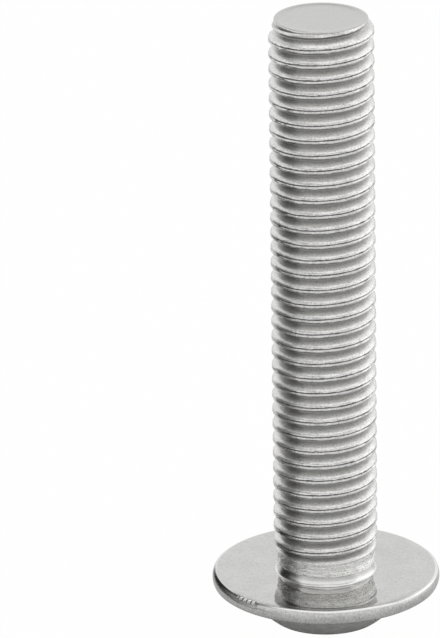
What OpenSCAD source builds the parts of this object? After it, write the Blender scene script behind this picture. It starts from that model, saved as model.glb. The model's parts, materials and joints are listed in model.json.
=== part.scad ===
// Flanged button head screw with a six-lobe socket and a rolled metric thread, cold formed in one piece.
// It stands on its crown: the origin is the centre of the crown, and +Z runs along the axis to the tip.

/* [Head] */
// Height of the head, from the crown to the bearing face
head_h = 5.65; // [5.2:0.05:6.6]
// Largest diameter of the collar, at the middle of its rounded rim
collar_d = 25.6; // [24:0.1:27]
// Thickness of the collar
collar_t = 1.65; // [1.2:0.05:2.2]
// Radius of the collar's rounded rim, seen in section
rim_r = 1.4; // [1.2:0.05:2.5]
// Diameter of the dome where it meets the collar
dome_d = 18.8; // [18:0.1:21]
// Diameter of the flat crown that the screw stands on
crown_d = 12.1; // [11.8:0.1:14]

/* [Socket] */
// Diameter across the tips of opposite lobes
lobe_tip_d = 11.35; // [10.5:0.05:11.5]
// Diameter across the hollows between the lobes
lobe_gap_d = 8.05; // [7.6:0.05:8.3]
// Radius of each lobe's round tip
lobe_r = 0.95; // [0.8:0.05:1.1]
// Depth of the socket's straight walls
socket_depth = 4.2; // [3:0.1:4.6]
// Further depth of the cone at the bottom of the socket
socket_cone_h = 0.9; // [0.3:0.1:1.4]
// Diameter of the small flat in the middle of the socket's bottom
socket_flat_d = 0.8; // [0.4:0.1:3]

/* [Shank] */
// Length from the bearing face to the tip
length = 65.5; // [40:0.5:90]
// Diameter over the thread's crests
thread_d = 11.7; // [11.4:0.05:12.4]
// Pitch of the right-hand thread
thread_pitch = 1.75; // [1.25:0.25:2]
// Angle about the axis at which the thread leaves the neck
thread_start = 95; // [0:5:355]
// Turns over which the thread rises to its full height at each end
thread_fade = 0.9; // [0.5:0.1:1.5]
// Diameter of the plain neck under the head
neck_d = 11; // [10.8:0.05:11.4]
// Length of the plain neck, with its fillet
neck_l = 2.6; // [1.6:0.1:4]
// Radius of the fillet between the neck and the bearing face
neck_fillet = 0.6; // [0.4:0.05:1]
// Diameter of the flat, unchamfered tip
tip_d = 10.45; // [10.2:0.05:11]
// Thickness of the plain disc at the tip
tip_t = 0.35; // [0.3:0.05:1]
// Radius of the tip's rounded edge
tip_edge = 0.2; // [0.1:0.05:0.25]

/* [Hidden] */
$fn = 96;
lobes = 6;
steps = 24;
flank_angle = 30;
depth_per_pitch = 0.6134;
crest_per_pitch = 1 / 8;
// Step at each end of the thread's body, how far it sinks into neck and tip, and how far from them its ridge starts
seat = 0.08;
sink = 0.3;
rise = 0.05;
// How far the socket's cutter reaches past the mouth and the lobes, and how far its arcs cross
cut_clear = 1;
bite = 0.004;

dome_h = head_h - collar_t;
dome_z = (pow(dome_d / 2, 2) + dome_h * dome_h - pow(crown_d / 2, 2)) / (2 * dome_h);
dome_r = norm([crown_d / 2, dome_z]);
rim_x = collar_d / 2 - rim_r;
rim_z = head_h - collar_t / 2;
tip_z = head_h + length;
socket_bottom = socket_depth + socket_cone_h;
cone_r = lobe_tip_d / 2 + cut_clear;

// Radius of the hollow between two lobes, which bites just deep enough into both for their arcs to cross
lobe_x = lobe_tip_d / 2 - lobe_r;
gap_x = lobe_gap_d / 2;
half_step = 180 / lobes;
meet_r = lobe_r - bite;
hollow_r = (lobe_x * lobe_x + gap_x * gap_x - 2 * lobe_x * gap_x * cos(half_step) - meet_r * meet_r)
    / (2 * (meet_r + lobe_x * cos(half_step) - gap_x));

// Heights of one turn of thread, from the foot of its lower flank
thread_depth = depth_per_pitch * thread_pitch;
flank_run = thread_depth * tan(flank_angle);
crest_w = crest_per_pitch * thread_pitch;
turn_z = [0, flank_run, flank_run + crest_w, 2 * flank_run + crest_w];
crest_r = thread_d / 2;
root_r = crest_r - thread_depth;

// The thread's body runs from inside the neck to inside the tip's disc
thread_z0 = head_h + neck_l - sink;
thread_z1 = tip_z - tip_t + sink / 2;
first_z = head_h + neck_l + rise;
last_z = tip_z - tip_t - rise;
foot_r = neck_d / 2 - seat;
end_r = tip_d / 2 - seat;
last = floor((last_z - first_z - turn_z[3]) / thread_pitch * steps);

// Share of the thread's full height at a step, and the plain radius that it grows from
function grown(s) = min(1, s / (steps * thread_fade), (last - s) / (steps * thread_fade));
function plain_r(s) = s < last / 2 ? foot_r : end_r;
function edge_r(s, j) = let (full = j == 1 || j == 2 ? crest_r : root_r) plain_r(s) + (full - plain_r(s)) * grown(s);
function on_ring(r, s, z) = [r * cos(s * 360 / steps), r * sin(s * 360 / steps), z];

// Index of a point of the thread: j counts the four edges of a turn, and edge 4 is edge 0 one turn on
function at(s, j) = j == 4 ? at(s + steps, 0) : 4 * s + j;
function foot_at(s) = 4 * (last + 1) + s % steps;
function end_at(s) = foot_at(s) + steps;
function pair(a, b, c, d) = [[a, d, c], [a, c, b]];
function fan(centre, rim) = [for (i = [0 : len(rim) - 2]) [centre, rim[i + 1], rim[i]]];

thread_points = concat(
    [for (s = [0 : last], j = [0 : 3])
        on_ring(edge_r(s, j), s, first_z + turn_z[j] + thread_pitch * s / steps)],
    [for (s = [0 : steps - 1]) on_ring(foot_r, s, thread_z0)],
    [for (s = [0 : steps - 1]) on_ring(end_r, s, thread_z1)]
);

thread_faces = concat(
    [for (s = [0 : last - 1], j = [0 : 3])
        if (j < 3 || s + 1 + steps <= last)
            each pair(at(s, j), at(s + 1, j), at(s + 1, j + 1), at(s, j + 1))],
    [for (s = [0 : steps - 2])
        each pair(foot_at(s), foot_at(s + 1), at(s + 1, 0), at(s, 0))],
    fan(at(steps - 1, 0), concat([foot_at(steps - 1), foot_at(0)], [for (j = [0 : 4]) at(0, j)])),
    [for (s = [last - steps + 1 : last - 1])
        each pair(at(s, 3), at(s + 1, 3), end_at(s + 1), end_at(s))],
    fan(at(last - steps + 1, 3), concat([end_at(last + 1), end_at(last)], [for (j = [3 : -1 : 0]) at(last, j)],
        [at(last - steps, 3)])),
    [[for (s = [0 : steps - 1]) foot_at(s)]],
    [[for (s = [steps - 1 : -1 : 0]) end_at(s)]]
);

module thread() {
    rotate([0, 0, thread_start]) polyhedron(thread_points, thread_faces);
}

// Half section of the dome, the collar and the neck
module head_section() {
    intersection() {
        translate([0, dome_z]) circle(dome_r);
        square([dome_d, dome_h]);
    }
    translate([0, dome_h]) {
        square([rim_x, collar_t]);
        intersection() {
            translate([rim_x, rim_z - dome_h]) circle(rim_r);
            translate([rim_x - rim_r, 0]) square([2 * rim_r, collar_t]);
        }
    }
    translate([0, dome_h]) square([neck_d / 2, collar_t + neck_l]);
    translate([0, dome_h]) difference() {
        square([neck_d / 2 + neck_fillet, collar_t + neck_fillet]);
        translate([neck_d / 2 + neck_fillet, collar_t + neck_fillet]) circle(neck_fillet);
    }
}

// Half section of the disc at the tip
module tip_section() {
    translate([0, tip_z - tip_t]) {
        square([tip_d / 2 - tip_edge, tip_t]);
        square([tip_d / 2, tip_t - tip_edge]);
        translate([tip_d / 2 - tip_edge, tip_t - tip_edge]) intersection() {
            circle(tip_edge);
            square(tip_edge);
        }
    }
}

// Outline of the six-lobe socket
module lobe_outline() {
    difference() {
        union() {
            polygon([for (i = [0 : lobes - 1], k = [0, 1])
                let (r = k == 0 ? lobe_x : gap_x + hollow_r, a = (2 * i + k) * half_step) r * [cos(a), sin(a)]]);
            for (i = [0 : lobes - 1])
                rotate(2 * i * half_step) translate([lobe_x, 0]) circle(lobe_r);
        }
        for (i = [0 : lobes - 1])
            rotate((2 * i + 1) * half_step) translate([gap_x + hollow_r, 0]) circle(hollow_r);
    }
}

module socket() {
    intersection() {
        translate([0, 0, -cut_clear]) linear_extrude(2 * cut_clear + socket_bottom) lobe_outline();
        rotate_extrude() polygon([
            [0, -cut_clear / 2], [cone_r, -cut_clear / 2], [cone_r, socket_depth],
            [socket_flat_d / 2, socket_bottom], [0, socket_bottom]
        ]);
    }
}

module screw() {
    color([0.78, 0.78, 0.77]) difference() {
        union() {
            rotate_extrude() head_section();
            thread();
            rotate_extrude() tip_section();
        }
        socket();
    }
}

screw();
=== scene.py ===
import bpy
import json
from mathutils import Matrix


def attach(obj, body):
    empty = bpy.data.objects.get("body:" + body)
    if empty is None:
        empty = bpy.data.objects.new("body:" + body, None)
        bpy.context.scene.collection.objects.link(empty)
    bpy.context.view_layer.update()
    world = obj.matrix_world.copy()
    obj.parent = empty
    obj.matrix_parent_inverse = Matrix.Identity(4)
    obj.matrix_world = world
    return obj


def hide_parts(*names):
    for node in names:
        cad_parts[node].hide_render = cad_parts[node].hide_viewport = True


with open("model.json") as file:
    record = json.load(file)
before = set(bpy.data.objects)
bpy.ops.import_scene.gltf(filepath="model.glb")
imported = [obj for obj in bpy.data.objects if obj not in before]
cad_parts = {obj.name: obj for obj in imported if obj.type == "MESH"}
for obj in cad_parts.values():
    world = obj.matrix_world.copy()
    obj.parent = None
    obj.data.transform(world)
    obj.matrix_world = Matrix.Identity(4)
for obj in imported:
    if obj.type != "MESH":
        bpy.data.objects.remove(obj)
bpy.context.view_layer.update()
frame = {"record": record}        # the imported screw, in metres

import json
from math import atan2, cos, degrees, hypot, pi, radians, sin, sqrt

import bmesh
import bpy
from mathutils import Matrix, Vector, noise as spaceNoise

mm = 0.001
mounts = {mount["name"]: mount for mount in frame["record"]["mounts"]}
bearingZ = mounts["bearing_face"]["pos_m"][2] / mm        # height of the bearing face
tipZ = mounts["thread"]["pos_m"][2] / mm                  # height of the shank's tip
weldGap = 0.002 * mm
smoothAngle = 40

# Camera, at the photo's viewing angle

cameraSet = {
    "elevation": 21.048,
    "roll": -0.806,
    "distance": 850,
    "aim": (-11.545, 0, 35.861),
    "lens": 430.6,
    "sensor": 36,
    "clipFrom": 10,
    "clipTo": 20000,
}


def placeCamera(look):
    bpy.ops.object.camera_add(location=(0, 0, 0))
    camera = bpy.context.object
    camera.name = "photoCamera"
    tilt = radians(90 - look["elevation"])
    turn = Matrix.Rotation(tilt, 4, "X") @ Matrix.Rotation(radians(look["roll"]), 4, "Z")
    back = turn @ Vector((0, 0, 1))
    camera.location = (Vector(look["aim"]) + back * look["distance"]) * mm
    camera.rotation_euler = turn.to_euler()
    camera.data.lens = look["lens"]
    camera.data.sensor_width = look["sensor"]
    camera.data.clip_start = look["clipFrom"] * mm
    camera.data.clip_end = look["clipTo"] * mm
    bpy.context.scene.camera = camera
    print("camera placed")


# Modelling steps

def startEdit(piece, mode="VERT"):
    bpy.ops.object.select_all(action="DESELECT")
    piece.select_set(True)
    bpy.context.view_layer.objects.active = piece
    bpy.ops.object.mode_set(mode="EDIT")
    bpy.ops.mesh.select_mode(type=mode)


def endEdit():
    bpy.ops.object.mode_set(mode="OBJECT")


def drawProfile(name, points):
    # a line of vertices in the plane y = 0, drawn by extruding one vertex from point to point
    bpy.ops.object.select_all(action="DESELECT")
    bpy.ops.mesh.primitive_plane_add(size=mm, location=(0, 0, 0))
    piece = bpy.context.object
    piece.name = name
    startEdit(piece)
    bpy.ops.mesh.select_all(action="SELECT")
    bpy.ops.mesh.merge(type="CENTER")
    last = (0, 0)
    for i, (x, z) in enumerate(points):
        step = ((x - last[0]) * mm, 0, (z - last[1]) * mm)
        if i == 0:
            bpy.ops.transform.translate(value=step)
        else:
            bpy.ops.mesh.extrude_vertices_move(TRANSFORM_OT_translate={"value": step})
        last = (x, z)
    endEdit()
    return piece


def arc(centre, radius, start, stop, steps):
    # points on a circle of the profile plane, in degrees
    turns = [radians(start + (stop - start) * i / steps) for i in range(steps + 1)]
    return [(centre[0] + radius * cos(a), centre[1] + radius * sin(a)) for a in turns]


def selectRing(piece, z, away=0.01):
    # open edges at one height
    bpy.ops.mesh.select_all(action="DESELECT")
    shape = bmesh.from_edit_mesh(piece.data)
    for edge in shape.edges:
        if edge.is_boundary and all(abs(vert.co.z / mm - z) < away for vert in edge.verts):
            edge.select = True
    shape.select_flush(True)
    bmesh.update_edit_mesh(piece.data)


def growRing(piece, place):
    # extrudes the selected ring and moves each new point to place(index, x, y)
    bpy.ops.mesh.extrude_edges_move()
    shape = bmesh.from_edit_mesh(piece.data)
    ring = [vert for vert in shape.verts if vert.select]
    ring.sort(key=lambda vert: atan2(vert.co.y, vert.co.x) % (2 * pi))
    for i, vert in enumerate(ring):
        vert.co = Vector(place(i, vert.co.x / mm, vert.co.y / mm)) * mm
    bmesh.update_edit_mesh(piece.data)


def roundRing(piece, radius, z):
    def place(i, x, y):
        reach = radius / hypot(x, y)
        return (x * reach, y * reach, z)
    growRing(piece, place)


def fade(value, low, high):
    # smooth step from 0 to 1
    share = min(1, max(0, (value - low) / (high - low)))
    return share * share * (3 - 2 * share)


# Threaded shank with its flat tip

shankSet = {
    "pitch": 1.75,
    "crestRadius": 5.85,
    "rootRadius": 4.85,
    "rootRound": 0.16,        # radius of the rounded root
    "rootSteps": 3,
    "flankAngle": 29,
    # the crest's points: depth under the crest, and height
    "lowLip": ((0.12, -0.45), (0.035, -0.39), (0, -0.29)),
    "seam": ((0.045, -0.17), (0.17, -0.09), (0.05, -0.02)),        # groove that rolling leaves
    "highLip": ((0.015, 0.04), (0.045, 0.13), (0.1, 0.21), (0.18, 0.3), (0.29, 0.39), (0.44, 0.49),
                (0.67, 0.61)),
    "lipDepth": 0.12,
    "lipShake": 0.09,         # how far the torn lips wander
    "lipWaves": 4.3,
    "crestAtFront": 0.03,     # distance of the last crest from the tip, at the front
    "frontAngle": 270,
    "turnSteps": 96,
    "spareTurns": 3,          # turns past both ends, cut off later
    "neckRadius": 5.5,
    "runoutLow": 2.1,         # heights above the bearing face where the thread fades
    "runoutHigh": 3.3,
    "cutSpare": 0.05,
    "tipRadius": 5.225,
    "tipFadeLow": 0.85,       # distances from the tip
    "tipFadeHigh": 0.1,
    "tipRootLow": 0.8,
    "tipLean": 0.5,           # the first turn starts lower on the left
    "tipRound": 0.15,
    "tipSteps": 5,
    "dishDepth": 0.08,
    "dishWidth": 0.5,
    "dishRim": 0.15,
    "dishSlope": ((0.35, 0.25), (0.7, 0.75), (1, 1)),        # shares of the dish's width and depth
    "faceRings": (0.75, 0.5, 0.25, 0.08),                    # shares of the rim's radius
}


def crestProfile(look):
    # one turn, from the middle of one root to the next: a thin lip, the seam and a broad round lip
    half = look["pitch"] / 2
    crest, bend = look["crestRadius"], look["rootRound"]
    bottom = arc((0, look["rootRadius"] + bend), bend, -90, -look["flankAngle"], look["rootSteps"])
    foot = [(r, half - z) for z, r in bottom]
    lower = [(r, -z) for r, z in foot]
    middle = [(crest - deep, z) for deep, z in look["lowLip"] + look["seam"] + look["highLip"]]
    return lower + middle + list(reversed(foot))


def windThread(look):
    # winds the profile into turns that reach past both ends, and leaves the shank in edit mode
    shank = drawProfile("screwBody", crestProfile(look))
    turns = int((tipZ - bearingZ) / look["pitch"]) + look["spareTurns"]
    winding = shank.modifiers.new("winding", "SCREW")
    winding.axis = "Z"
    winding.angle = 2 * pi
    winding.screw_offset = look["pitch"] * mm
    winding.iterations = turns
    winding.steps = look["turnSteps"]
    winding.render_steps = look["turnSteps"]
    winding.use_merge_vertices = False
    bpy.ops.object.modifier_apply(modifier="winding")
    startEdit(shank)
    bpy.ops.mesh.select_all(action="SELECT")
    bpy.ops.mesh.remove_doubles(threshold=weldGap)
    shape = bmesh.from_edit_mesh(shank.data)
    lowest = tipZ - look["crestAtFront"] - (turns - 1) * look["pitch"]
    spin = Matrix.Rotation(radians(look["frontAngle"]), 4, "Z")
    for vert in shape.verts:
        vert.co = spin @ vert.co
        vert.co.z += lowest * mm
    bmesh.update_edit_mesh(shank.data)
    return shank


def fadeThread(shank, look):
    # the thread fades into the neck below and into the plain disc at the tip, and its lips are torn
    shape = bmesh.from_edit_mesh(shank.data)
    for vert in shape.verts:
        z = vert.co.z / mm
        radius = hypot(vert.co.x, vert.co.y) / mm
        low = fade(z - bearingZ, look["runoutLow"], look["runoutHigh"])
        reach = look["tipFadeLow" if radius > look["tipRadius"] else "tipRootLow"]
        under = tipZ - z + look["tipLean"] * min(0, vert.co.x / mm / radius)
        high = fade(under, look["tipFadeHigh"], reach)
        if radius > look["crestRadius"] - look["lipDepth"]:
            shake = spaceNoise.noise(vert.co / mm * look["lipWaves"]) * look["lipShake"]
            radius += min(0, shake)
            vert.co.z += shake * mm
        wanted = look["neckRadius"] + (radius - look["neckRadius"]) * low
        wanted = look["tipRadius"] + (wanted - look["tipRadius"]) * high
        vert.co.x *= wanted / radius
        vert.co.y *= wanted / radius
    bmesh.update_edit_mesh(shank.data)


def cutThread(height, side):
    # cuts the shank at a height and clears the side that bisect calls inner or outer
    bpy.ops.mesh.select_all(action="SELECT")
    bpy.ops.mesh.bisect(plane_co=(0, 0, height * mm), plane_no=(0, 0, 1), threshold=weldGap,
                        clear_inner=side == "inner", clear_outer=side == "outer")


def closeTip(shank, look):
    # rounded edge, shallow dish and flat middle
    bend = look["tipRound"]
    bpy.ops.mesh.select_mode(type="EDGE")
    selectRing(shank, tipZ - bend)
    corner = arc((look["tipRadius"] - bend, tipZ - bend), bend, 0, 90, look["tipSteps"])
    for r, z in corner[1:]:
        roundRing(shank, r, z)
    rim = corner[-1][0]
    for share, sink in look["dishSlope"]:
        inward = look["dishRim"] + look["dishWidth"] * share
        roundRing(shank, rim - inward, tipZ - look["dishDepth"] * sink)
    for share in look["faceRings"]:
        roundRing(shank, rim * share, tipZ - look["dishDepth"])
    bpy.ops.mesh.edge_face_add()


def makeShank(look):
    shank = windThread(look)
    fadeThread(shank, look)
    cutThread(bearingZ + look["runoutLow"] - look["cutSpare"], "inner")
    cutThread(tipZ - look["tipRound"], "outer")
    closeTip(shank, look)
    endEdit()
    print("shank made:", len(shank.data.polygons), "faces")
    return shank


# Head with its collar, neck and six-lobe socket

headSet = {
    "neckRadius": 5.5,
    "bandTop": 1.95,          # ends of the rough band above the bearing face
    "bandLow": 1.05,
    "bandLines": (0, -0.04, 0.01, -0.07, 0, -0.03, 0.01, -0.06, 0, -0.04, 0, -0.08, -0.01, -0.04),
    "bandShake": 0.07,
    "bandWaves": 1.1,
    "bandStretch": 3,         # the waves are this much shorter along the axis
    "bandSpare": (0.1, 0.05),        # how far below its low and its top end the band is shaken
    "waistDepth": 0.13,       # smooth waist below the band
    "waistLine": ((0.01, 1), (-0.01, 0.93), (0, 0.87)),
    "filletOut": 0.42,        # the fillet rises further than it reaches out
    "filletUp": 0.8,
    "filletSteps": 10,
    "faceRings": (7.5, 9.5, 11.5),
    "collarRadius": 12.8,
    "collarThick": 1.65,
    "rimBulge": 1.4,
    "rimSteps": 18,
    "edgeSoft": 0.2,
    "edgeBend": (0.45, 0.12),        # shares of the soft edge, inward and down
    "edgeTurn": 8,            # degrees of the rim's arc that the soft edge takes
    "underRings": (11.4, 10.4),
    "domeRadius": 9.4,
    "domeFoot": ((0.12, 0), (0.03, 0.03)),        # outward and down from the dome's edge
    "domeTrim": 0.5,
    "domeSteps": 22,
    "crownRadius": 6.05,
    "crownSoft": 0.12,
    "crownBend": (0.4, 0.012),
    "spinSteps": 240,
    "nickTurn": (213, 216, 229, 232),        # row of nicks in the rim: azimuths where it comes and goes
    "nickReach": 0.5,
    "nickHeight": 0.75,
    "nickDepth": 0.26,
}

socketSet = {
    "lobes": 6,
    "tipRadius": 5.675,
    "gapRadius": 4.025,
    "lobeRadius": 0.95,
    "depth": 4.2,
    "coneDepth": 0.9,
    "mouthSoft": 0.14,
    "mouthSteps": ((1, 0), (0.62, 0.06), (0.29, 0.29), (0.06, 0.62), (0, 1)),
    "wallSteps": (0.35, 0.7, 0.96),        # shares of the depth
    "wallTaper": 0.04,
    "footIn": 0.07,
    "bottomIn": 0.2,
    "bottomRings": (1, 0.72, 0.45, 0.2, 0.07),
    "lobePoints": 18,
    "gapPoints": 22,
}


def headProfile(look):
    neck = look["neckRadius"]
    waist = neck - look["waistDepth"]
    lines = look["bandLines"]
    lineStep = (look["bandTop"] - look["bandLow"]) / (len(lines) - 1)
    points = [(neck + rise, bearingZ + look["bandTop"] - lineStep * i) for i, rise in enumerate(lines)]
    points += [(waist + rise, bearingZ + z) for rise, z in look["waistLine"]]
    out, up = look["filletOut"], look["filletUp"]
    quarter = arc((0, 0), 1, 180, 270, look["filletSteps"])
    points += [(waist + out * (1 + x), bearingZ + up * (1 + z)) for x, z in quarter]

    # bearing face, soft edge and bulging rim of the collar
    halfThick, bulge = look["collarThick"] / 2, look["rimBulge"]
    rimX = look["collarRadius"] - bulge
    rimZ = bearingZ - halfThick
    underZ = bearingZ - look["collarThick"]
    lean = degrees(atan2(halfThick, sqrt(bulge ** 2 - halfThick ** 2)))
    edge = rimX + bulge * cos(radians(lean))
    soft = look["edgeSoft"]
    bendIn, bendDown = (soft * share for share in look["edgeBend"])
    points += [(r, bearingZ) for r in look["faceRings"]]
    points += [(edge - soft, bearingZ), (edge - bendIn, bearingZ - bendDown)]
    points += arc((rimX, rimZ), bulge, lean - look["edgeTurn"], look["edgeTurn"] - lean, look["rimSteps"])
    points += [(edge - bendIn, underZ + bendDown), (edge - soft, underZ)]
    points += [(r, underZ) for r in look["underRings"]]

    # dome, part of a ball whose middle lies on the axis, and flat crown
    dome, crown = look["domeRadius"], look["crownRadius"]
    domeZ = (dome ** 2 + underZ ** 2 - crown ** 2) / (2 * underZ)
    start = degrees(atan2(underZ - domeZ, dome)) - look["domeTrim"]
    stop = degrees(atan2(-domeZ, crown)) + look["domeTrim"]
    points += [(dome + rise, underZ - down) for rise, down in look["domeFoot"]]
    points += arc((0, domeZ), hypot(crown, domeZ), start, stop, look["domeSteps"])
    crownIn, crownZ = look["crownBend"]
    points += [(crown - look["crownSoft"] * crownIn, crownZ), (crown - look["crownSoft"], 0)]
    return points


def lobeOutline(look, grow):
    # points of the six-lobe outline, moved outwards by grow
    lobeX, lobeR = look["tipRadius"] - look["lobeRadius"], look["lobeRadius"]
    gapX = look["gapRadius"]
    half = pi / look["lobes"]
    reach = lobeX ** 2 + gapX ** 2 - 2 * lobeX * gapX * cos(half) - lobeR ** 2
    hollow = reach / (2 * (lobeR + lobeX * cos(half) - gapX))
    far = gapX + hollow
    gap = (far * cos(half), far * sin(half))        # middle of the hollow's arc
    swing = atan2(gap[1], gap[0] - lobeX)
    outline = []
    for i in range(look["lobePoints"]):
        a = -swing + 2 * swing * i / look["lobePoints"]
        outline.append((lobeX + (lobeR + grow) * cos(a), (lobeR + grow) * sin(a)))
    for i in range(look["gapPoints"]):
        a = pi + swing - 2 * (swing - half) * i / look["gapPoints"]
        outline.append((gap[0] + (hollow - grow) * cos(a), gap[1] + (hollow - grow) * sin(a)))
    points = []
    for k in range(look["lobes"]):
        turn = 2 * half * k
        points += [(x * cos(turn) - y * sin(turn), x * sin(turn) + y * cos(turn)) for x, y in outline]
    points.sort(key=lambda point: atan2(point[1], point[0]) % (2 * pi))
    return points


def sinkSocket(head, look):
    # soft mouth, slightly tapered walls and coned bottom, ring by ring
    soft, depth = look["mouthSoft"], look["depth"]

    def lobeRing(grow, z):
        outline = lobeOutline(look, grow)
        growRing(head, lambda i, x, y: (*outline[i], z))

    bpy.ops.mesh.select_mode(type="EDGE")
    selectRing(head, 0)
    for grow, z in look["mouthSteps"]:
        lobeRing(soft * grow, soft * z)
    for share in look["wallSteps"]:
        lobeRing(-look["wallTaper"] * share, depth * share)
    lobeRing(-look["footIn"], depth)
    bottom = lobeOutline(look, -look["bottomIn"])
    for share in look["bottomRings"]:
        def place(i, x, y, share=share):
            px, py = bottom[i]
            reach = hypot(px, py) * share
            deep = depth + look["coneDepth"] * max(0, 1 - reach / look["tipRadius"])
            return (px * share, py * share, deep)
        growRing(head, place)
    bpy.ops.mesh.edge_face_add()


def wearHead(head, look):
    # torn surface of the band, and the row of nicks in the rim
    shape = bmesh.from_edit_mesh(head.data)
    spareLow, spareTop = look["bandSpare"]
    come, full, leave, gone = look["nickTurn"]
    for vert in shape.verts:
        z = vert.co.z / mm - bearingZ
        if look["bandLow"] - spareLow < z < look["bandTop"] - spareTop:
            spot = Vector((vert.co.x, vert.co.y, vert.co.z * look["bandStretch"])) / mm * look["bandWaves"]
            shake = spaceNoise.noise(spot) * look["bandShake"]
            vert.co.x *= 1 + shake / look["neckRadius"]
            vert.co.y *= 1 + shake / look["neckRadius"]
        radius = hypot(vert.co.x, vert.co.y) / mm
        azimuth = degrees(atan2(vert.co.y, vert.co.x)) % 360
        if radius > look["collarRadius"] - look["nickReach"] and z > -look["nickHeight"]:
            row = fade(azimuth, come, full) * (1 - fade(azimuth, leave, gone))
            odd = round(azimuth * look["spinSteps"] / 360) % 2        # every second column is dented
            dent = look["nickDepth"] * row * odd * (1 + z / look["nickHeight"])
            vert.co.x *= 1 - dent / radius
            vert.co.y *= 1 - dent / radius
    bmesh.update_edit_mesh(head.data)


def makeHead(look, socket):
    head = drawProfile("screwHead", headProfile(look))
    startEdit(head)
    bpy.ops.mesh.select_all(action="SELECT")
    bpy.ops.mesh.spin(steps=look["spinSteps"], angle=2 * pi, center=(0, 0, 0), axis=(0, 0, 1))
    bpy.ops.mesh.select_all(action="SELECT")
    bpy.ops.mesh.remove_doubles(threshold=weldGap)
    sinkSocket(head, socket)
    wearHead(head, look)
    endEdit()
    print("head made:", len(head.data.polygons), "faces")
    return head


def joinScrew(shank, head):
    bpy.ops.object.select_all(action="DESELECT")
    head.select_set(True)
    shank.select_set(True)
    bpy.context.view_layer.objects.active = shank
    bpy.ops.object.join()
    startEdit(shank, "EDGE")
    bpy.ops.mesh.select_all(action="DESELECT")
    bpy.ops.mesh.select_non_manifold()
    bpy.ops.mesh.bridge_edge_loops()
    bpy.ops.mesh.select_all(action="SELECT")
    bpy.ops.mesh.remove_doubles(threshold=weldGap)
    bpy.ops.mesh.normals_make_consistent(inside=False)
    endEdit()
    bpy.ops.object.shade_smooth_by_angle(angle=radians(smoothAngle))
    shape = bmesh.new()
    shape.from_mesh(shank.data)
    openEdges = sum(1 for edge in shape.edges if not edge.is_manifold)
    print("screw joined: open edges", openEdges, "volume mm3", round(shape.calc_volume() / mm ** 3, 1),
          "triangles", sum(len(face.verts) - 2 for face in shape.faces))
    shape.free()
    return shank


# Steel finishes

class Wire:
    # one socket of a node tree; sums and products of wires add Math nodes
    def __init__(self, socket):
        self.socket = socket
        self.tree = socket.id_data

    @staticmethod
    def add(tree, kind, settings, sockets, output=0):
        # any other node: its settings come first, then the values or links of its sockets
        made = tree.nodes.new(kind)
        for key, value in settings.items():
            setattr(made, key, value)
        for key, value in sockets.items():
            target = made.inputs[key]
            if isinstance(value, Wire):
                tree.links.new(value.socket, target)
            else:
                target.default_value = value
        return Wire(made.outputs[output]) if made.outputs else None

    def calc(self, operation, first, second):
        return Wire.add(self.tree, "ShaderNodeMath", {"operation": operation}, {0: first, 1: second})

    def __add__(self, other):
        return self.calc("ADD", self, other)

    def __radd__(self, other):
        return self.calc("ADD", other, self)

    def __sub__(self, other):
        return self.calc("SUBTRACT", self, other)

    def __rsub__(self, other):
        return self.calc("SUBTRACT", other, self)

    def __mul__(self, other):
        return self.calc("MULTIPLY", self, other)

    def __rmul__(self, other):
        return self.calc("MULTIPLY", other, self)

    def __truediv__(self, other):
        return self.calc("DIVIDE", self, other)

    def __rtruediv__(self, other):
        return self.calc("DIVIDE", other, self)

    def __pow__(self, other):
        return self.calc("POWER", self, other)

    def __rpow__(self, other):
        return self.calc("POWER", other, self)

    def part(self, name):
        # another output of the same node
        return Wire(self.socket.node.outputs[name])


def startFinish(name):
    finish = bpy.data.materials.new(name)
    finish.use_nodes = True
    finish.node_tree.nodes.clear()
    return finish, finish.node_tree


def steelPlaces(tree):
    # position in millimetres and distance from the axis
    spot = Wire.add(tree, "ShaderNodeTexCoord", {}, {}, "Object")
    split = Wire.add(tree, "ShaderNodeSeparateXYZ", {}, {"Vector": spot}, "X")
    x = split / mm
    y = split.part("Y") / mm
    z = split.part("Z") / mm
    radius = (x * x + y * y) ** 0.5
    return {"spot": spot, "x": x, "y": y, "z": z, "radius": radius}


def noise(tree, vector, scale, detail=3.0, rough=0.55):
    return Wire.add(tree, "ShaderNodeTexNoise", {"noise_dimensions": "3D"},
                    {"Vector": vector, "Scale": scale, "Detail": detail, "Roughness": rough}, "Fac")


def grainNoise(tree, place, around, height, outward, detail=3.0, axisGap=0.001):
    # noise that varies at its own rate around the axis, along it and away from it
    safe = place["radius"] + axisGap
    vector = Wire.add(tree, "ShaderNodeCombineXYZ", {}, {
        "X": place["x"] / safe * around,
        "Y": place["y"] / safe * around,
        "Z": place["z"] * height + place["radius"] * outward,
    })
    return noise(tree, vector, 1.0, detail)


def ramp(value, low, high):
    return Wire.add(value.tree, "ShaderNodeMapRange", {"clamp": True}, {
        "Value": value, "From Min": low, "From Max": high, "To Min": 0.0, "To Max": 1.0})


colourMix = {"share": 0, "first": 6, "second": 7, "result": 2}        # where Mix has its colour sockets


def blendColour(tree, share, first, second):
    sockets = {colourMix["share"]: share}
    for side, stop in (("first", first), ("second", second)):
        sockets[colourMix[side]] = stop if isinstance(stop, Wire) else (*stop, 1)
    return Wire.add(tree, "ShaderNodeMix", {"data_type": "RGBA"}, sockets, colourMix["result"])


def crestOffset(tree, place, look, wholeTurns=100):
    # distance along the axis from the nearest crest, in pitches, positive towards the tip;
    # the whole turns keep the value above zero
    angle = Wire.add(tree, "ShaderNodeMath", {"operation": "ARCTAN2"}, {0: place["y"], 1: place["x"]})
    turns = (angle - radians(look["frontAngle"])) / (2 * pi)
    lift = (place["z"] - (tipZ - look["crestAtFront"])) / look["pitch"]
    wound = lift - turns + (wholeTurns + 0.5)
    return Wire.add(tree, "ShaderNodeMath", {"operation": "FRACT"}, {0: wound}) - 0.5


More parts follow.
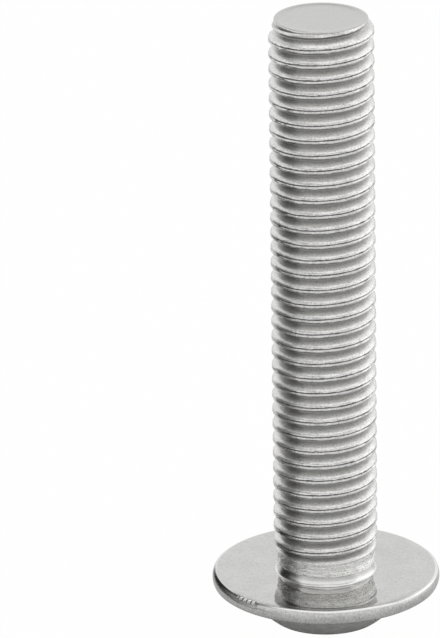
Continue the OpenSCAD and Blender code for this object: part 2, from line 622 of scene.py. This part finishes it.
# what all finishes share: soft clouds, pits and specks, each with the range of noise that shows
steelSet = {
    "cloudScale": 320.0,
    "cloudDetail": 4.0,
    "grainShare": 0.6,
    "tones": (0.36, 0.62),
    "pitScale": 2600.0,
    "pitDetail": 2.0,
    "pitRange": (0.36, 0.30),
    "pitShade": 0.7,
    "speckScale": 4200.0,
    "speckDetail": 3.0,
    "speckRough": 0.7,
    "speckRange": (0.46, 0.7),
    "speckTone": (0.16, 0.158, 0.152),
}

finishSet = {
    "rolledThread": {"dark": (0.72, 0.717, 0.703), "light": (0.86, 0.857, 0.843),
                     "rough": 0.31, "roughSpread": 0.14, "around": 3.0, "height": 14.0, "outward": 4.0,
                     "bump": 0.012, "pits": 0.4, "speck": 0.4},
    "runoutBand": {"dark": (0.84, 0.837, 0.823), "light": (0.97, 0.967, 0.953),
                   "rough": 0.28, "roughSpread": 0.2, "around": 5.0, "height": 16.0, "outward": 0.0,
                   "bump": 0.12, "pits": 1.0, "speck": 0.12},
    "neckFillet": {"dark": (0.70, 0.697, 0.685), "light": (0.82, 0.817, 0.805),
                   "rough": 0.21, "roughSpread": 0.08, "around": 4.0, "height": 6.0, "outward": 6.0,
                   "bump": 0.004, "pits": 0.2, "speck": 0.1},
    "bearingFace": {"dark": (0.54, 0.538, 0.528), "light": (0.63, 0.628, 0.618),
                    "rough": 0.05, "roughSpread": 0.03, "around": 27.0, "height": 0.0, "outward": 3.0,
                    "bump": 0.0004, "pits": 0.1, "speck": 0.2},
    "collarRim": {"dark": (0.48, 0.478, 0.47), "light": (0.66, 0.658, 0.65),
                  "rough": 0.27, "roughSpread": 0.14, "around": 60.0, "height": 3.0, "outward": 0.0,
                  "bump": 0.008, "pits": 0.5, "speck": 0.4},
    # the dome's light tones are painted light: brighter than the steel, to make up for the shaded floor it
    # reflects
    "forgedDome": {"dark": (0.70, 0.698, 0.688), "light": (0.92, 0.918, 0.908),
                   "rough": 0.30, "roughSpread": 0.12, "around": 6.0, "height": 3.0, "outward": 1.5,
                   "bump": 0.02, "pits": 0.5, "speck": 0.25},
    "socketWall": {"dark": (0.40, 0.398, 0.39), "light": (0.60, 0.598, 0.59),
                   "rough": 0.28, "roughSpread": 0.14, "around": 60.0, "height": 0.5, "outward": 0.0,
                   "bump": 0.006, "pits": 0.5, "speck": 0.4},
    "shearedTip": {"dark": (0.55, 0.548, 0.54), "light": (0.61, 0.608, 0.60),
                   "rough": 0.30, "roughSpread": 0.1, "around": 8.0, "height": 0.0, "outward": 1.5,
                   "bump": 0.002, "pits": 0.4, "speck": 0.1},
}

# tones across a turn of the rolled thread, painted shade among them: places are in pitches from the crest
crestSet = {
    "deep": (0.5, 0.497, 0.489),        # painted shade on the undersides and the foot of the upper flanks
    "rootFrom": 0.24,
    "rootHalf": 0.44,
    "unshadedRise": 0.08,
    "rootMidShade": (0.26, 0.258, 0.253),        # painted shade in the middle of the root
    "rootMidShadeRange": (0.43, 0.47),
    "lipTone": (0.75, 0.747, 0.739),
    "lipHalf": 0.22,
    "lipRise": 0.04,
    "lipFade": (0.06, 0.22),
    "lipRough": 0.22,
    "lipBump": 1.8,
    "lipAround": 34.0,
    "lipHeight": 8.0,
    "lipDetail": 4.0,
    "wander": 0.02,
    # the seam's tone is painted shade, a dark line along the groove between the lips
    "seam": (0.36, 0.357, 0.351),
    "seamAt": -0.051,
    "seamHalf": 0.03,
    "seamTorn": (0.2, 0.5),
}


def dressCrest(tree, place, look, colour):
    # painted shade in the roots and undersides, darker painted shade in the middle of the root, shiny
    # flanks, rough lips beside a seam with a line of painted shade
    torn = grainNoise(tree, place, look["lipAround"], look["lipHeight"], 0.0, look["lipDetail"])
    across = crestOffset(tree, place, shankSet) + (torn - 0.5) * look["wander"]
    above = 1 - ramp(across, look["rootFrom"], look["rootHalf"])
    below = ramp(across, -look["lipHalf"] - look["lipRise"], -look["lipHalf"])
    unshaded = above * ramp(across, -look["rootHalf"], -look["rootHalf"] + look["unshadedRise"])
    lip = (1 - ramp(across, *look["lipFade"])) * below
    # mask of the painted shade along the seam's groove, torn by noise
    beside = across - look["seamAt"]
    seam = ramp(beside, -look["seamHalf"] * 2, -look["seamHalf"])
    seam = seam * (1 - ramp(beside, look["seamHalf"], look["seamHalf"] * 2)) * ramp(torn, *look["seamTorn"])
    inner, outer = look["rootMidShadeRange"]
    rootMidShade = ramp(across, inner, outer) + (1 - ramp(across, -outer, -inner))
    # painted shade: the deep tone covers the roots and undersides wherever unshaded is zero
    colour = blendColour(tree, unshaded, look["deep"], colour)
    # painted shade, darker still in the middle of the root
    colour = blendColour(tree, rootMidShade, colour, look["rootMidShade"])
    colour = blendColour(tree, lip, colour, look["lipTone"])
    colour = blendColour(tree, seam, colour, look["seam"])
    return colour, lip, torn


def steelFinish(name, look, steel):
    finish, tree = startFinish(name)
    place = steelPlaces(tree)
    grain = grainNoise(tree, place, look["around"], look["height"], look["outward"])
    cloud = noise(tree, place["spot"], steel["cloudScale"], steel["cloudDetail"])
    hollow = noise(tree, place["spot"], steel["pitScale"], steel["pitDetail"])
    pits = ramp(hollow, *steel["pitRange"]) * look["pits"]
    mixed = grain * steel["grainShare"] + cloud * (1 - steel["grainShare"])
    share = ramp(mixed, *steel["tones"]) * (1 - pits * steel["pitShade"])
    rough = look["rough"] + (cloud - 0.5) * look["roughSpread"] + (grain - 0.5) * look["roughSpread"]
    relief = grain - pits
    colour = blendColour(tree, share, look["dark"], look["light"])
    if name == "rolledThread":
        colour, lip, torn = dressCrest(tree, place, crestSet, colour)
        rough = rough + lip * (crestSet["lipRough"] - look["rough"])
        relief = relief + lip * torn * crestSet["lipBump"]
    speck = noise(tree, place["spot"], steel["speckScale"], steel["speckDetail"], steel["speckRough"])
    specks = ramp(speck, *steel["speckRange"]) * look["speck"]
    colour = blendColour(tree, specks, colour, steel["speckTone"])
    bump = Wire.add(tree, "ShaderNodeBump", {},
                    {"Strength": 1.0, "Distance": look["bump"] * mm, "Height": relief}, "Normal")
    body = Wire.add(tree, "ShaderNodeBsdfPrincipled", {}, {
        "Base Color": colour, "Metallic": 1.0, "Roughness": rough, "Normal": bump}, "BSDF")
    Wire.add(tree, "ShaderNodeOutputMaterial", {}, {"Surface": body})
    return finish


# where one finish ends and the next begins
zoneSet = {
    "tipShare": 0.5,          # share of the tip's rounded edge
    "tipIn": 0.6,
    "threadFrom": 2.7,        # heights above the bearing face
    "neckFrom": 0.005,
    "bandSpare": 0.05,
    "edgeDown": 0.003,        # the collar's soft edge gets the neck's lighter finish, a painted highlight along the edge
    "faceIn": 0.25,
    "rimSpare": 0.001,
    "rimOut": 1.5,
    "rimTilt": 0.95,
    "socketOut": 0.05,
    "mouthShare": 0.9,
}


def pickFinish(face, look, head, socket, zone):
    x, y, z = (value / mm for value in face.center)
    radius = hypot(x, y)
    above = z - bearingZ
    underTip = tipZ - z
    if underTip < look["tipRound"] * zone["tipShare"]:
        return "shearedTip"
    if underTip < look["tipFadeLow"] and radius < look["tipRadius"] - zone["tipIn"]:
        return "shearedTip"
    if above > zone["threadFrom"]:
        return "rolledThread"
    if above > head["bandLow"] - zone["bandSpare"]:
        return "runoutBand"
    # the collar's soft edge takes the neck's lighter tones as a painted highlight line
    if above > zone["neckFrom"] or -head["edgeSoft"] < above < -zone["edgeDown"]:
        return "neckFillet"
    if above > -head["edgeSoft"] and radius < head["collarRadius"] - zone["faceIn"]:
        return "bearingFace"
    onCollar = above > -head["collarThick"] - zone["rimSpare"]
    if onCollar and radius > head["domeRadius"] + zone["rimOut"] and abs(face.normal.z) < zone["rimTilt"]:
        return "collarRim"
    if radius < socket["tipRadius"] + zone["socketOut"] and z > socket["mouthSoft"] * zone["mouthShare"]:
        return "socketWall"
    return "forgedDome"


def dressScrew(screw, look, head, socket):
    names = list(finishSet)
    screw.data.materials.clear()
    for name in names:
        screw.data.materials.append(steelFinish(name, finishSet[name], steelSet))
    for face in screw.data.polygons:
        face.material_index = names.index(pickFinish(face, look, head, socket, zoneSet))
    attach(screw, "root")
    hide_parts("screw")
    print("screw dressed")


# Floor, world and lamps

stageSet = {
    "floorSize": 4.0,
    "floorTone": 0.62,
    "floorMirror": 0.45,      # share of the floor's white that the steel sees
    "shadeFrom": 0.012,       # around the head the floor is in its shade, as the steel sees it
    "shadeTo": 0.034,
    "floorGlow": 0.985,       # share of the floor's white that the shadow doesn't touch, seen by the camera
    "worldDiffuse": 0.75,
    "topPower": 2.2,
    "topSize": 0.9,
    "topPlace": (0.05, -0.05, 0.75),
    "sidePower": 0.6,
    "sideSize": 0.7,
    "sidePlace": (0.5, 0.15, 0.25),
    "lampAim": (0, 0, 0.035),
    "skyTop": 0.3,            # the sky is darker overhead, where the lamp hangs
    "skyLow": 0.45,
    "skyHigh": 0.85,
}

# dark sheets beside the screw, which only the steel sees, painted shade in its reflections where shaded
# things stood: middle, size, and how much of each edge is soft
sheetSet = {
    "sideCard": {"middle": (-0.046, 0.0075, 0.033), "size": (0.063, 0.066), "tilt": (90, 0, 90),
                 "tone": 0.2, "soft": (0.17, 0.2, 0.4, 0.01)},
    "lowCard": {"middle": (-0.0158, 0.0, 0.0085), "size": (0.026, 0.0105), "tilt": (90, 0, 90),
                "tone": 0.02, "soft": (0.45, 0.3, 0.15, 0.3)},
    "floorShadeCard": {"middle": (-0.089, -0.001, 0.0002), "size": (0.122, 0.062), "tilt": (0, 0, 0),
                   "tone": 0.08, "soft": (0.3, 0.03, 0.12, 0.12)},
}
white = (1, 1, 1, 1)


def laySheet(name, look):
    bpy.ops.object.select_all(action="DESELECT")
    turn = [radians(angle) for angle in look["tilt"]]
    bpy.ops.mesh.primitive_plane_add(size=1, location=look["middle"], rotation=turn)
    sheet = bpy.context.object
    sheet.name = name
    sheet.scale = (*look["size"], 1)
    finish, tree = startFinish(name + "ShadeCard")
    spot = Wire.add(tree, "ShaderNodeTexCoord", {}, {}, "Generated")
    across = Wire.add(tree, "ShaderNodeSeparateXYZ", {}, {"Vector": spot}, "X")
    along = across.part("Y")
    left, right, low, high = look["soft"]
    cover = ramp(across, 0.0, left) * (1 - ramp(across, 1 - right, 1.0))
    cover = cover * ramp(along, 0.0, low) * (1 - ramp(along, 1 - high, 1.0))
    clear = Wire.add(tree, "ShaderNodeBsdfTransparent", {}, {}, "BSDF")
    # dark glow that only reflections show: painted shade standing for shaded things beside the screw
    dark = Wire.add(tree, "ShaderNodeEmission", {}, {"Color": white, "Strength": look["tone"]}, "Emission")
    mixed = Wire.add(tree, "ShaderNodeMixShader", {}, {0: cover, 1: clear, 2: dark}, "Shader")
    Wire.add(tree, "ShaderNodeOutputMaterial", {}, {"Surface": mixed})
    sheet.data.materials.append(finish)
    sheet.visible_camera = False
    sheet.visible_diffuse = False
    sheet.visible_shadow = False


def layFloor(look):
    # white to the camera apart from the screw's shadow, and shaded near the head to the steel
    bpy.ops.object.select_all(action="DESELECT")
    bpy.ops.mesh.primitive_plane_add(size=look["floorSize"], location=(0, 0, 0))
    floor = bpy.context.object
    floor.name = "studioFloor"
    finish, tree = startFinish("paleFloor")
    paint = Wire.add(tree, "ShaderNodeBsdfDiffuse", {}, {"Color": (look["floorTone"],) * 3 + (1,)}, "BSDF")
    glow = Wire.add(tree, "ShaderNodeEmission", {}, {"Color": white, "Strength": 1.0}, "Emission")
    path = Wire.add(tree, "ShaderNodeLightPath", {}, {}, "Is Camera Ray")
    spot = Wire.add(tree, "ShaderNodeTexCoord", {}, {}, "Object")
    away = Wire.add(tree, "ShaderNodeVectorMath", {"operation": "LENGTH"}, {0: spot}, "Value")
    mirrored = ramp(away, look["shadeFrom"], look["shadeTo"]) * look["floorMirror"]
    bent = path.part("Is Glossy Ray") + path.part("Is Transmission Ray")
    share = path * look["floorGlow"] + bent * mirrored
    mixed = Wire.add(tree, "ShaderNodeMixShader", {}, {0: share, 1: paint, 2: glow}, "Shader")
    Wire.add(tree, "ShaderNodeOutputMaterial", {}, {"Surface": mixed})
    floor.data.materials.append(finish)


def lightWorld(look):
    world = bpy.data.worlds.new("studioWorld")
    bpy.context.scene.world = world
    world.use_nodes = True
    tree = world.node_tree
    tree.nodes.clear()
    path = Wire.add(tree, "ShaderNodeLightPath", {}, {}, "Is Camera Ray")
    seen = path + path.part("Is Glossy Ray") + path.part("Is Transmission Ray")
    spot = Wire.add(tree, "ShaderNodeTexCoord", {}, {}, "Generated")
    height = Wire.add(tree, "ShaderNodeSeparateXYZ", {}, {"Vector": spot}, "Z")
    dusk = ramp(height, look["skyLow"], look["skyHigh"]) * path.part("Is Glossy Ray") * (1 - look["skyTop"])
    strength = look["worldDiffuse"] + seen * (1 - look["worldDiffuse"]) - dusk
    sky = Wire.add(tree, "ShaderNodeBackground", {}, {"Color": white, "Strength": strength}, "Background")
    Wire.add(tree, "ShaderNodeOutputWorld", {}, {"Surface": sky})


def hangLamp(name, place, size, power, target):
    bpy.ops.object.light_add(type="AREA", location=place)
    lamp = bpy.context.object
    lamp.name = name
    lamp.data.shape = "SQUARE"
    lamp.data.size = size
    lamp.data.energy = power
    aim = Vector(target) - Vector(place)
    lamp.rotation_euler = aim.to_track_quat("-Z", "Y").to_euler()


def makeStage(look):
    layFloor(look)
    lightWorld(look)
    for side in ("top", "side"):
        place, size, power = (look[side + key] for key in ("Place", "Size", "Power"))
        hangLamp(side + "Lamp", place, size, power, look["lampAim"])
    for name, sheet in sheetSet.items():
        laySheet(name, sheet)
    print("stage set")


bpy.context.scene.view_settings.view_transform = "Standard"
placeCamera(cameraSet)
shankPiece = makeShank(shankSet)
headPiece = makeHead(headSet, socketSet)
screwBody = joinScrew(shankPiece, headPiece)
dressScrew(screwBody, shankSet, headSet, socketSet)
makeStage(stageSet)
